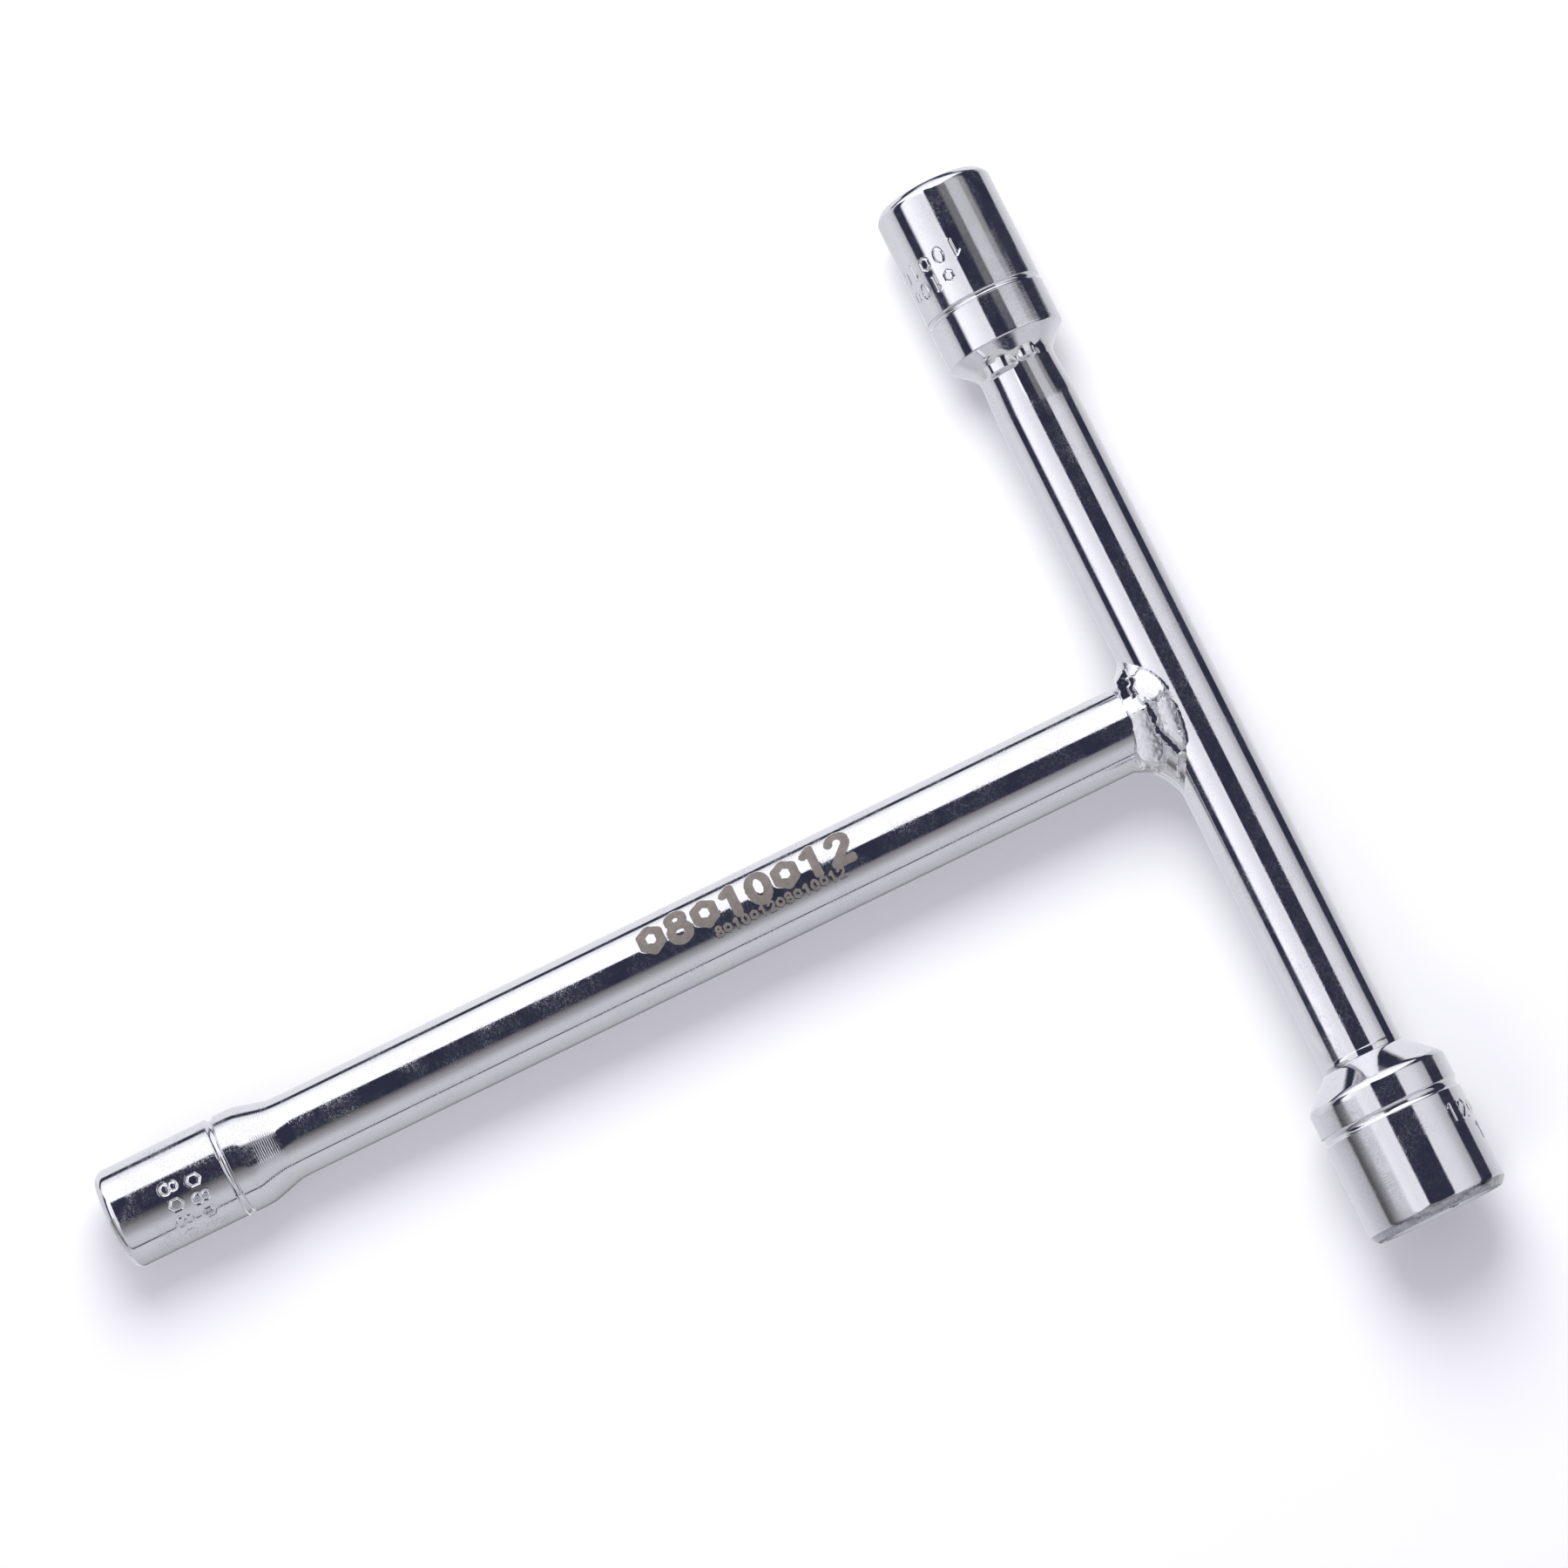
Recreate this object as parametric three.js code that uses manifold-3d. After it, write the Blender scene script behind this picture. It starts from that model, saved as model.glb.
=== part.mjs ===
// Three-way T-handle socket wrench for 8, 10 and 12 mm hexagon nuts.
//
// A round cross bar carries the 10 mm socket at one end and the 12 mm socket at the other. A leg of the same
// bar is coped to fit the cross bar, held to it by a saddle weld, and carries the 8 mm socket. Each bar end is
// turned down to a spigot that sits in a bore in the tail of its socket, and a ring weld fills the groove
// around that joint. The tool is rigid: nothing on it moves.
//
// Units are millimetres. The tool lies flat, with the cross bar along X and the 12 mm socket at +X, the leg
// towards -Y, and +Z up. The origin is the middle of its footprint, level with its lowest point.

import * as THREE from "three";
import { mergeVertices } from "three/addons/utils/BufferGeometryUtils.js";
import Module from "manifold-3d";

const wasm = await Module();
wasm.setup();

// ---------------------------------------------------------------- driving dimensions

// Bars
const BAR_RADIUS = 5; // both bars are 10 mm stock
const SPIGOT_RADIUS = 3.5;
const SPIGOT_LENGTH = 5;
const BORE_CLEARANCE = 0.05; // around the spigot, a press fit on the real tool
const BORE_EXTRA_DEPTH = 0.5; // room past the spigot's end

// Sockets. Distances along a socket are measured from its mouth.
const SOCKET_12 = {
  flats: 12, // size of the hexagon, across its flats
  reach: 66.4, // from the leg's axis to the mouth
  radius: 8.57,
  length: 20.4,
  rimRadius: 0.75, // rounding of the mouth's outer edge
  hexDepth: 10,
  pilotDepth: 12.8, // round hole that runs on past the hexagon
  hexTurn: 10, // degrees from flats level
  groove: { start: 12.3, width: 1.2, depth: 0.3 },
  collarEnd: 16.75, // where the cone down to the bar begins
  collarRounding: 0.8,
  weld: { halfWidth: 0.4, depth: 0.5, crown: 0.15 },
};
const SOCKET_10 = {
  flats: 10,
  reach: 67.8,
  radius: 7.3,
  length: 23.4,
  rimRadius: 0.8,
  hexDepth: 12,
  pilotDepth: 15,
  hexTurn: 0,
  groove: { start: 14.6, width: 0.9, depth: 0.3 },
  collarEnd: 20.75,
  collarRounding: 0.3,
  weld: { halfWidth: 0.5, depth: 0.5, crown: 0.4 },
};
const SOCKET_8 = {
  flats: 8,
  reach: 138.4, // from the cross bar's axis to the mouth
  radius: 6.16,
  length: 22.4,
  rimRadius: 0.7,
  hexDepth: 12,
  pilotDepth: 14.5,
  hexTurn: 0,
  groove: { start: 14.5, width: 1, depth: 0.35 },
  collarEnd: 17.9,
  collarRounding: 1.2,
  weld: { halfWidth: 0.5, depth: 0.5, crown: 0 }, // ground flush
};
const HEX_CLEARANCE = 0.1; // the hexagon is this much wider than its nut
const PILOT_UNDERSIZE = 0.2; // the round hole is this much narrower than the flats
const LEAD_IN_WIDTH = 0.3; // chamfer at the mouth, beyond the hexagon's corners
const LEAD_IN_ANGLE = THREE.MathUtils.degToRad(30); // between the chamfer and the mouth's face

// Joint of leg and cross bar
const COPE_GAP = 0.3; // root gap between the leg's coped end and the cross bar
const WELD_GAP = 0.2; // between the saddle weld and the bars it joins
const SADDLE = {
  legToe: 7, // how far down the leg the weld reaches, above and below
  legToeExtra: { plus: 2.4, minus: 0.7 }, // and how much further on its +X and -X sides
  barToe: { plus: 10.2, minus: 8.2 }, // how far along the cross bar it reaches each way
  wrapAngle: THREE.MathUtils.degToRad(77), // how far up and down round the cross bar it reaches
  crownRise: 1.6, // height of the crown's control point over the bars, above and below
  crownSide: 0.8, // and the same at the sides
  crownSetback: 4, // distance of the crown's control point from the cross bar's axis, above and below
};

// Faceting
const TURNED_SIDES = 48; // sides of every turned surface, so that touching surfaces share their facets
const ROUNDING_STEPS = 4;
const GROOVE_STEPS = 4;
const SADDLE_STATIONS = 48;
const SADDLE_STEPS = 6;
const MERGE_DISTANCE = 1e-4;
const OVERCUT = 0.5; // how far a cutter runs past the face it cuts

// ---------------------------------------------------------------- materials

const CHROME = new THREE.MeshStandardMaterial({ color: 0xd2d4dc, roughness: 0.08, metalness: 1 });
const TURNED_CHROME = new THREE.MeshStandardMaterial({ color: 0xcccfd6, roughness: 0.16, metalness: 1 });
const WELD_CHROME = new THREE.MeshStandardMaterial({ color: 0xc6c8cf, roughness: 0.22, metalness: 1 });

// ---------------------------------------------------------------- solids and profiles

// A closed geometry as a solid that can be joined and cut.
function solidOf(geometry) {
  const bare = geometry.clone();
  bare.deleteAttribute("normal");
  bare.deleteAttribute("uv");
  const merged = mergeVertices(bare, MERGE_DISTANCE);
  return new wasm.Manifold(
    new wasm.Mesh({
      numProp: 3,
      vertProperties: new Float32Array(merged.attributes.position.array),
      triVerts: new Uint32Array(merged.index.array),
    }),
  );
}

function geometryOf(solid) {
  const mesh = solid.getMesh();
  const geometry = new THREE.BufferGeometry();
  geometry.setAttribute("position", new THREE.BufferAttribute(mesh.vertProperties, mesh.numProp));
  geometry.setIndex(new THREE.BufferAttribute(mesh.triVerts, 1));
  geometry.computeVertexNormals();
  return geometry;
}

function subtract(body, cutters) {
  return cutters.reduce((left, cutter) => left.subtract(solidOf(cutter)), solidOf(body));
}

// A profile is a list of [radius, distance along the axis], turned about Y.
function turned(profile) {
  const points = profile.map(([radius, along]) => new THREE.Vector2(radius, along));
  return new THREE.LatheGeometry(points, TURNED_SIDES);
}

// Profile points on a circular arc, both ends included. Angle 0 points away from the axis.
function arc([radius, along], size, fromDegrees, toDegrees, steps) {
  return Array.from({ length: steps + 1 }, (_, i) => {
    const angle = THREE.MathUtils.degToRad(fromDegrees + ((toDegrees - fromDegrees) * i) / steps);
    return [radius + size * Math.cos(angle), along + size * Math.sin(angle)];
  });
}

// Profile points that round the corner between two straight stretches with a quadratic curve.
function roundedCorner(before, corner, after, size) {
  const point = (p) => new THREE.Vector2(...p);
  const towards = (p) => point(p).sub(point(corner)).setLength(size).add(point(corner));
  const curve = new THREE.QuadraticBezierCurve(towards(before), point(corner), towards(after));
  return curve.getPoints(ROUNDING_STEPS).map((p) => [p.x, p.y]);
}

// ---------------------------------------------------------------- sockets

// The socket's turned blank, mouth at y = 0 and tail at y = length, with the spigot's bore in its tail.
function socketBlank({ radius, length, rimRadius, groove, collarEnd, collarRounding, weld }) {
  const boreRadius = SPIGOT_RADIUS + BORE_CLEARANCE;
  const boreDepth = SPIGOT_LENGTH + BORE_EXTRA_DEPTH;
  const grooveEnd = groove.start + groove.width;
  const coneEnd = length - weld.halfWidth;
  const grooveFloor = Array.from({ length: GROOVE_STEPS + 1 }, (_, i) => {
    const t = i / GROOVE_STEPS;
    return [radius - groove.depth * Math.sin(Math.PI * t), groove.start + groove.width * t];
  });
  return turned([
    [0, 0],
    ...arc([radius - rimRadius, rimRadius], rimRadius, -90, 0, ROUNDING_STEPS),
    ...grooveFloor,
    ...roundedCorner([radius, grooveEnd], [radius, collarEnd], [BAR_RADIUS, coneEnd], collarRounding),
    [BAR_RADIUS, coneEnd],
    [BAR_RADIUS - weld.depth, length],
    [boreRadius, length],
    [boreRadius, length - boreDepth],
    [0, length - boreDepth],
  ]);
}

// The hexagon, the round pilot hole beyond it, and the lead-in chamfer at the mouth.
function socketCutters({ flats, hexDepth, pilotDepth, hexTurn }) {
  const cornerRadius = (flats + HEX_CLEARANCE) / 2 / Math.cos(Math.PI / 6);
  const pilotRadius = (flats - PILOT_UNDERSIZE) / 2;
  const leadInRadius = cornerRadius + LEAD_IN_WIDTH;
  const leadInDepth = (leadInRadius - pilotRadius) * Math.tan(LEAD_IN_ANGLE);
  const flare = OVERCUT / Math.tan(LEAD_IN_ANGLE);

  const hexagon = new THREE.CylinderGeometry(cornerRadius, cornerRadius, hexDepth + OVERCUT, 6);
  hexagon.rotateY(Math.PI / 6 + THREE.MathUtils.degToRad(hexTurn));
  hexagon.translate(0, (hexDepth - OVERCUT) / 2, 0);

  const pilot = new THREE.CylinderGeometry(pilotRadius, pilotRadius, pilotDepth + OVERCUT, TURNED_SIDES);
  pilot.translate(0, (pilotDepth - OVERCUT) / 2, 0);

  const leadIn = new THREE.CylinderGeometry(pilotRadius, leadInRadius + flare, leadInDepth + OVERCUT, TURNED_SIDES);
  leadIn.translate(0, (leadInDepth - OVERCUT) / 2, 0);
  return [hexagon, pilot, leadIn];
}

function socketGeometry(socket) {
  return geometryOf(subtract(socketBlank(socket), socketCutters(socket)));
}

// The weld around a socket's tail. It fills the groove between two chamfers and stands proud by its crown.
function ringWeldGeometry({ length, weld: { halfWidth, depth, crown } }) {
  const bulge = Array.from({ length: ROUNDING_STEPS + 1 }, (_, i) => {
    const t = i / ROUNDING_STEPS;
    return [BAR_RADIUS + crown * Math.sin(Math.PI * t), length + halfWidth * (2 * t - 1)];
  });
  const root = [BAR_RADIUS - depth, length];
  return turned([root, ...bulge, root]);
}

// ---------------------------------------------------------------- bars

// Profile of a bar's end, from the full bar to the spigot's tip on the axis. direction is +1 or -1 along Y.
function barEnd(shoulder, direction, { halfWidth, depth }) {
  const tip = shoulder + direction * SPIGOT_LENGTH;
  return [
    [BAR_RADIUS, shoulder - direction * halfWidth],
    [BAR_RADIUS - depth, shoulder],
    [SPIGOT_RADIUS, shoulder],
    [SPIGOT_RADIUS, tip],
    [0, tip],
  ];
}

// The cross bar, along Y before it is placed, with the 12 mm socket's spigot at +Y.
function crossBarGeometry() {
  const shoulder10 = -(SOCKET_10.reach - SOCKET_10.length);
  const shoulder12 = SOCKET_12.reach - SOCKET_12.length;
  return turned([
    ...barEnd(shoulder10, -1, SOCKET_10.weld).reverse(),
    ...barEnd(shoulder12, 1, SOCKET_12.weld),
  ]);
}

// The leg, its spigot at -Y and its upper end cut to the cross bar's round.
function legBarGeometry() {
  const shoulder = -(SOCKET_8.reach - SOCKET_8.length);
  const blank = turned([...barEnd(shoulder, -1, SOCKET_8.weld).reverse(), [BAR_RADIUS, 0], [0, 0]]);
  return geometryOf(subtract(blank, [crossBarCutter(COPE_GAP)]));
}

// A plain rod along X, wider than the cross bar by the gap.
function crossBarCutter(gap) {
  const halfLength = 2 * SADDLE.barToe.plus;
  const rod = turned([
    [0, -halfLength],
    [BAR_RADIUS + gap, -halfLength],
    [BAR_RADIUS + gap, halfLength],
    [0, halfLength],
  ]);
  return rod.rotateZ(-Math.PI / 2);
}

// A plain rod along Y, wider than the leg by the gap, from the cross bar's axis downwards.
function legCutter(gap) {
  const length = 2 * (SADDLE.legToe + SADDLE.legToeExtra.plus);
  return turned([
    [0, -length],
    [BAR_RADIUS + gap, -length],
    [BAR_RADIUS + gap, 0],
    [0, 0],
  ]);
}

// ---------------------------------------------------------------- saddle weld

// One section of the saddle weld, at an angle round the leg: its visible curve from the toe on the leg to the
// toe on the cross bar, then a root point inside the bars.
function saddleSection(angle) {
  const side = Math.cos(angle);
  const rise = Math.sin(angle);
  const way = side > 0 ? "plus" : "minus";
  const legToe = new THREE.Vector3(
    BAR_RADIUS * side,
    -(SADDLE.legToe + SADDLE.legToeExtra[way] * side * side),
    BAR_RADIUS * rise,
  );
  const wrap = SADDLE.wrapAngle * rise;
  const barToe = new THREE.Vector3(
    SADDLE.barToe[way] * side,
    -BAR_RADIUS * Math.cos(wrap),
    BAR_RADIUS * Math.sin(wrap),
  );
  const sideSetback = BAR_RADIUS + SADDLE.crownSide;
  const crown = new THREE.Vector3(
    sideSetback * side,
    -THREE.MathUtils.lerp(SADDLE.crownSetback, sideSetback, side * side),
    (BAR_RADIUS + SADDLE.crownRise) * rise,
  );
  const rootScale = 0.6; // the root point lies this share of the bar's radius out from the leg's axis
  const root = new THREE.Vector3(side, -1, rise).multiplyScalar(rootScale * BAR_RADIUS);
  return [...new THREE.QuadraticBezierCurve3(legToe, crown, barToe).getPoints(SADDLE_STEPS), root];
}

function saddleWeldGeometry() {
  const sections = Array.from({ length: SADDLE_STATIONS }, (_, i) =>
    saddleSection((2 * Math.PI * i) / SADDLE_STATIONS),
  );
  const around = sections[0].length;
  const indices = [];
  for (let i = 0; i < SADDLE_STATIONS; i++) {
    for (let j = 0; j < around; j++) {
      const here = i * around;
      const next = ((i + 1) % SADDLE_STATIONS) * around;
      const j2 = (j + 1) % around;
      indices.push(here + j, here + j2, next + j);
      indices.push(here + j2, next + j2, next + j);
    }
  }
  const geometry = new THREE.BufferGeometry().setFromPoints(sections.flat());
  geometry.setIndex(indices);
  return geometryOf(subtract(geometry, [crossBarCutter(WELD_GAP), legCutter(WELD_GAP)]));
}

// ---------------------------------------------------------------- assembly

const TOWARDS_PLUS_X = -Math.PI / 2; // turns a piece made along +Y to lie along +X
const TOWARDS_MINUS_X = Math.PI / 2;

function piece(name, geometry, material, position = [0, 0, 0], turn = 0) {
  const mesh = new THREE.Mesh(geometry, material);
  mesh.name = name;
  mesh.position.set(...position);
  mesh.rotation.z = turn;
  return mesh;
}

// A socket and the weld around its tail, with the socket's mouth at the position.
function socketPieces(size, socket, position, turn) {
  return [
    piece(`socket_${size}mm`, socketGeometry(socket), TURNED_CHROME, position, turn),
    piece(`socket_${size}mm_ring_weld`, ringWeldGeometry(socket), WELD_CHROME, position, turn),
  ];
}

const group = new THREE.Group();
group.add(
  piece("cross_bar", crossBarGeometry(), CHROME, [0, 0, 0], TOWARDS_PLUS_X),
  piece("leg_bar", legBarGeometry(), CHROME),
  piece("tee_saddle_weld", saddleWeldGeometry(), WELD_CHROME),
  ...socketPieces(12, SOCKET_12, [SOCKET_12.reach, 0, 0], TOWARDS_MINUS_X),
  ...socketPieces(10, SOCKET_10, [-SOCKET_10.reach, 0, 0], TOWARDS_PLUS_X),
  ...socketPieces(8, SOCKET_8, [0, -SOCKET_8.reach, 0], 0),
);

// The bars' axes cross at the group's own zero. This puts the middle of the footprint at the origin, with the
// widest socket resting at z = 0.
group.position.set(
  (SOCKET_10.reach - SOCKET_12.reach) / 2,
  (SOCKET_8.reach - SOCKET_12.radius) / 2,
  SOCKET_12.radius,
);

export default group;
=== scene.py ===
"""Chrome three-way socket wrench lying on a pale studio floor.

Every piece of the CAD frame is replaced by a fine mesh of the same size: the bars and sockets are turned
about their axes, the sockets carry stamped size marks, and the welds are lumpy beads.
"""

import math

import bpy
import numpy as np
from mathutils import Matrix, Vector


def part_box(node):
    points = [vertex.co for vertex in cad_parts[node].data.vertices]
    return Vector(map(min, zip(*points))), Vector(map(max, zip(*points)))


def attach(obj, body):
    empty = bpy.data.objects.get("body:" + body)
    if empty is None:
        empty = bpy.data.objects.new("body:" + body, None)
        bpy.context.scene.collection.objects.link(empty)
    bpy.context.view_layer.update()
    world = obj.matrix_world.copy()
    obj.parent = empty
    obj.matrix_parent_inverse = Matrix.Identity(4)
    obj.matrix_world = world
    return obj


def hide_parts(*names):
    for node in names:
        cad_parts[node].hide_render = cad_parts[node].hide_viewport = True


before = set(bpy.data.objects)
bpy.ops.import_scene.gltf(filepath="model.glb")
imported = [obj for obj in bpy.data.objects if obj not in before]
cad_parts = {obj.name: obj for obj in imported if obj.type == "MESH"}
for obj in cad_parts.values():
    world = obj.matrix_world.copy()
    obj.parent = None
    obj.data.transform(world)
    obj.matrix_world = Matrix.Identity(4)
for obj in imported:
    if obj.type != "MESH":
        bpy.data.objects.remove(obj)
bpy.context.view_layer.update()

MM = 0.001
X_AXIS, Y_AXIS, UP = Vector((1, 0, 0)), Vector((0, 1, 0)), Vector((0, 0, 1))

# ------------------------------------------------------------------ places and sizes, from the frame

bar_low, bar_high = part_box("cross_bar")
leg_low, leg_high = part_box("leg_bar")
BAR_RADIUS = (bar_high.z - bar_low.z) / 2
JUNCTION = Vector(((leg_low.x + leg_high.x) / 2, (bar_low.y + bar_high.y) / 2, (bar_low.z + bar_high.z) / 2))
low_12, high_12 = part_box("socket_12mm")
low_10, high_10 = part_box("socket_10mm")
low_8, high_8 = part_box("socket_8mm")


# ------------------------------------------------------------------ turned meshes

SIDES = 540  # a multiple of 6, so that a hexagon's corners fall on vertices
TURN = np.linspace(0, 2 * math.pi, SIDES, endpoint=False)


def new_object(name, vertices, faces, materials, sharp_degrees=30):
    """A smooth-shaded object, with creases where its faces meet at a sharper angle."""
    mesh = bpy.data.meshes.new(name)
    mesh.from_pydata(vertices.tolist(), [], faces)
    mesh.validate()
    mesh.shade_smooth()
    mesh.set_sharp_from_angle(angle=math.radians(sharp_degrees))
    for material in materials:
        mesh.materials.append(material)
    piece = bpy.data.objects.new(name, mesh)
    bpy.context.scene.collection.objects.link(piece)
    return piece


def ring_faces(first, second, sides, flip=False):
    """Quads between two rings of vertices, given the index of each ring's first vertex."""
    faces = []
    for i in range(sides):
        j = (i + 1) % sides
        quad = [first + i, first + j, second + j, second + i]
        faces.append(quad[::-1] if flip else quad)
    return faces


def spokes_around(axis, turn):
    """Unit vectors square to an axis. Angle 0 is straight up, and angles grow towards axis x up."""
    return np.outer(np.cos(turn), UP) + np.outer(np.sin(turn), axis.cross(UP))


def turned(name, rings, origin, axis, materials, sides=SIDES):
    """A closed body turned about an axis. rings is a list of (distance along the axis, radius), where a
    radius is a number or one value for each side. The first and last rings are points on the axis."""
    spokes = spokes_around(axis, np.linspace(0, 2 * math.pi, sides, endpoint=False))
    vertices = [np.array([origin + axis * rings[0][0]])]
    for along, radius in rings[1:-1]:
        radius = np.broadcast_to(np.asarray(radius, float), (sides,))
        vertices.append(np.array(origin + axis * along) + spokes * radius[:, None])
    vertices.append(np.array([origin + axis * rings[-1][0]]))
    count = len(rings) - 2
    last = 1 + count * sides
    faces = []
    for i in range(sides):
        j = (i + 1) % sides
        faces.append([0, 1 + i, 1 + j])
        faces.append([last, last - sides + j, last - sides + i])
    for k in range(count - 1):
        faces += ring_faces(1 + k * sides, 1 + (k + 1) * sides, sides, flip=True)
    return new_object(name, np.vstack(vertices), faces, materials)


def straight(start, end, step):
    """Evenly spaced values from start to end, both included."""
    return np.linspace(start, end, max(2, int(abs(end - start) / step) + 2))


def eased(corners, size, steps=10):
    """Profile points through a row of corners. All but the first and last are eased over a length of size."""
    points = [Vector(c) for c in corners]
    rings = [tuple(points[0])]
    for before, corner, after in zip(points[:-2], points[1:-1], points[2:]):
        start = corner + (before - corner).normalized() * min(size, (before - corner).length / 2)
        end = corner + (after - corner).normalized() * min(size, (after - corner).length / 2)
        for t in np.linspace(0, 1, steps + 1):
            rings.append(tuple(start * (1 - t) ** 2 + corner * (2 * t * (1 - t)) + end * t**2))
    return rings + [tuple(points[-1])]


def smooth(t):
    """0 up to t = 0, 1 from t = 1, and a smooth step between them."""
    t = np.clip(t, 0, 1)
    return t * t * (3 - 2 * t)


def angle_from(turn, degrees):
    """Angles measured from a direction, between minus and plus half a turn."""
    return (turn - math.radians(degrees) + math.pi) % (2 * math.pi) - math.pi


def stretch_distance(x, y, start, end):
    """Distance from points to a straight stretch, and the share of it, from 0 to 1, that is nearest."""
    (ax, ay), (bx, by) = start, end
    length2 = (bx - ax) ** 2 + (by - ay) ** 2
    share = np.clip(((x - ax) * (bx - ax) + (y - ay) * (by - ay)) / length2, 0, 1)
    return np.hypot(x - ax - share * (bx - ax), y - ay - share * (by - ay)), share


def path_distance(x, y, points):
    """Distance from points to the nearest place on a path."""
    nearest = np.full(np.shape(x), np.inf)
    for start, end in zip(points[:-1], points[1:]):
        nearest = np.minimum(nearest, stretch_distance(x, y, start, end)[0])
    return nearest


def stand_in(piece, node):
    """The piece rides on the part's one body, in place of its node."""
    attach(piece, "root")
    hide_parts(node)


# ------------------------------------------------------------------ stamped and etched marks


def bow(centre_x, centre_y, radius_x, radius_y, start=0, end=360, steps=18):
    """Points along an ellipse, or part of one, with its angles in degrees."""
    angles = np.radians(np.linspace(start, end, steps + 1))
    return np.column_stack([centre_x + radius_x * np.cos(angles), centre_y + radius_y * np.sin(angles)])


# Each glyph is a list of strokes in a cell 1 high and GLYPH_WIDTH wide.
GLYPH_WIDTH = 0.62
GLYPHS = {
    "0": [bow(0.31, 0.5, 0.31, 0.5)],
    "1": [np.array([(0.1, 0.78), (0.36, 1.0), (0.36, 0.0)])],
    "2": [np.vstack([bow(0.31, 0.7, 0.29, 0.3, 170, -38), [(0.02, 0.0), (0.6, 0.0)]])],
    "8": [bow(0.31, 0.27, 0.31, 0.27), bow(0.31, 0.76, 0.25, 0.24)],
    "*": [bow(0.31, 0.5, 0.36, 0.4, 30, 390, 6)],  # a hexagon
}


def stroke_distance(x, y, text, height, pitch):
    """Distance from points to the nearest stroke of a line of marks that is centred on (0, 0)."""
    nearest = np.full(np.shape(x), np.inf)
    start = -((len(text) - 1) * pitch + GLYPH_WIDTH * height) / 2
    for place, glyph in enumerate(text):
        left = start + place * pitch
        for stroke in GLYPHS[glyph]:
            points = stroke * height + np.array([left, -height / 2])
            nearest = np.minimum(nearest, path_distance(x, y, points))
    return nearest


STAMP_DEPTH = 0.09 * MM
STAMP_HALF_WIDTH = 0.15 * MM
STAMP_LIP = 0.012 * MM  # height of the metal pushed up beside a stroke


def stamp_relief(distance):
    """Height of the surface near a stamped stroke."""
    groove = -STAMP_DEPTH * (1 - smooth(distance / STAMP_HALF_WIDTH))
    lip = STAMP_LIP * np.exp(-(((distance - 1.5 * STAMP_HALF_WIDTH) / (0.45 * STAMP_HALF_WIDTH)) ** 2))
    return groove + lip


# ------------------------------------------------------------------ materials


def node_material(name):
    """A new material: its node tree, its Principled shader, and its own object's coordinates."""
    material = bpy.data.materials.new(name)
    material.use_nodes = True
    tree = material.node_tree
    tree.nodes.clear()
    output = tree.nodes.new("ShaderNodeOutputMaterial")
    shader = tree.nodes.new("ShaderNodeBsdfPrincipled")
    tree.links.new(shader.outputs[0], output.inputs[0])
    return material, tree, shader, tree.nodes.new("ShaderNodeTexCoord").outputs["Object"]


def add(tree, kind, inputs=None, **settings):
    """A new node. An input that is given a socket is linked to it, and any other is set to its value."""
    node = tree.nodes.new(kind)
    for key, value in settings.items():
        setattr(node, key, value)
    for key, value in (inputs or {}).items():
        if isinstance(value, bpy.types.NodeSocket):
            tree.links.new(value, node.inputs[key])
        else:
            node.inputs[key].default_value = value
    return node


def noise(tree, place, scale_mm, detail=3, roughness=0.55, distortion=0.0):
    """Noise with features of about scale_mm."""
    inputs = {"Vector": place, "Scale": 1 / (scale_mm * MM), "Detail": detail, "Roughness": roughness,
              "Distortion": distortion}
    return add(tree, "ShaderNodeTexNoise", inputs).outputs["Fac"]


def remap(tree, value, given, wanted=(0, 1)):
    """The value's range given, clamped and mapped to the range wanted."""
    inputs = {"Value": value, "From Min": given[0], "From Max": given[1],
              "To Min": wanted[0], "To Max": wanted[1]}
    return add(tree, "ShaderNodeMapRange", inputs).outputs["Result"]


def math_node(tree, operation, first, *others):
    """One operation on a value, or on a row of values from left to right."""
    if not others:
        return add(tree, "ShaderNodeMath", {0: first}, operation=operation).outputs[0]
    for other in others:
        first = add(tree, "ShaderNodeMath", {0: first, 1: other}, operation=operation).outputs[0]
    return first


def multiply(tree, *values):
    return math_node(tree, "MULTIPLY", *values)


def plus(tree, *values):
    return math_node(tree, "ADD", *values)


def mix_colour(tree, factor, first, second):
    node = add(tree, "ShaderNodeMix", {"Factor": factor}, data_type="RGBA")
    for name, value in (("A", first), ("B", second)):
        socket = [s for s in node.inputs if s.name == name and s.type == "RGBA"][0]
        if isinstance(value, bpy.types.NodeSocket):
            tree.links.new(value, socket)
        else:
            socket.default_value = (*value, 1)
    return [s for s in node.outputs if s.type == "RGBA"][0]


def set_surface(tree, shader, colour, roughness, height, relief, strength=1.0):
    """Links a surface's colour and roughness, and makes its height a bump of up to relief."""
    bump = add(tree, "ShaderNodeBump", {"Height": height, "Strength": strength, "Distance": relief})
    tree.links.new(colour, shader.inputs["Base Color"])
    tree.links.new(roughness, shader.inputs["Roughness"])
    tree.links.new(bump.outputs[0], shader.inputs["Normal"])


TURNING_STRETCH = 0.07  # the width of the turning lines' texture, as a share of its length around the axis
GRIND_SPACING = 0.42 * MM
GRIND_SLANT = 0.45
GRIND_STRAY = 9  # how far the grinding lines wander, in radians of their spacing


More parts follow.
